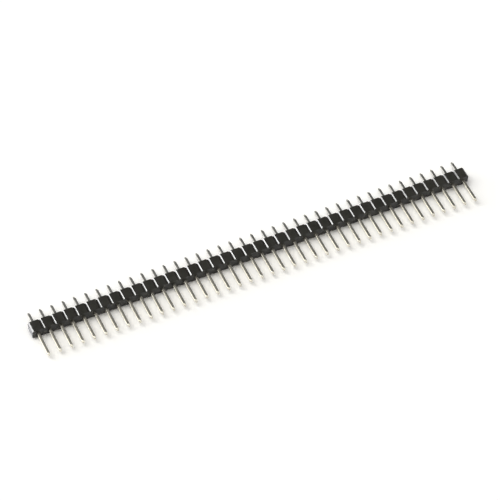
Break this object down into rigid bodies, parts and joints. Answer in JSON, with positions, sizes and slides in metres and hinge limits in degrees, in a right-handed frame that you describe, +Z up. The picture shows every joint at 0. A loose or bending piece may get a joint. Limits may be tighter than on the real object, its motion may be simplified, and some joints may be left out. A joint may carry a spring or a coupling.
{
  "type": "pin header strip",
  "caption": "Single-row straight pin header: a notched black plastic strip carrying a row of square pins, long mating ends on one side and short solder tails on the other.",
  "frame": {"origin": "on the surface that the strip rests on, below the middle of its overall length and width", "axes": "+X along the row of pins, -Y the way the long mating ends point, +Y the way the solder tails point, +Z up, across the row"},
  "size_m": [0.1016, 0.0116, 0.0025],
  "materials": {
    "insulator": "smooth moulded black thermoplastic",
    "pins": "drawn square wire with a thin gold flash on the mating ends and tin on the tails"
  },
  "bodies": {
    "root": {"insulator": "insulator", "pin_01": "pins", "pin_02": "pins", "pin_03": "pins", "pin_04": "pins", "pin_05": "pins", "pin_06": "pins", "pin_07": "pins", "pin_08": "pins", "pin_09": "pins", "pin_10": "pins", "pin_11": "pins", "pin_12": "pins", "pin_13": "pins", "pin_14": "pins", "pin_15": "pins", "pin_16": "pins", "pin_17": "pins", "pin_18": "pins", "pin_19": "pins", "pin_20": "pins", "pin_21": "pins", "pin_22": "pins", "pin_23": "pins", "pin_24": "pins", "pin_25": "pins", "pin_26": "pins", "pin_27": "pins", "pin_28": "pins", "pin_29": "pins", "pin_30": "pins", "pin_31": "pins", "pin_32": "pins", "pin_33": "pins", "pin_34": "pins", "pin_35": "pins", "pin_36": "pins", "pin_37": "pins", "pin_38": "pins", "pin_39": "pins", "pin_40": "pins"}
  },
  "joints": []
}
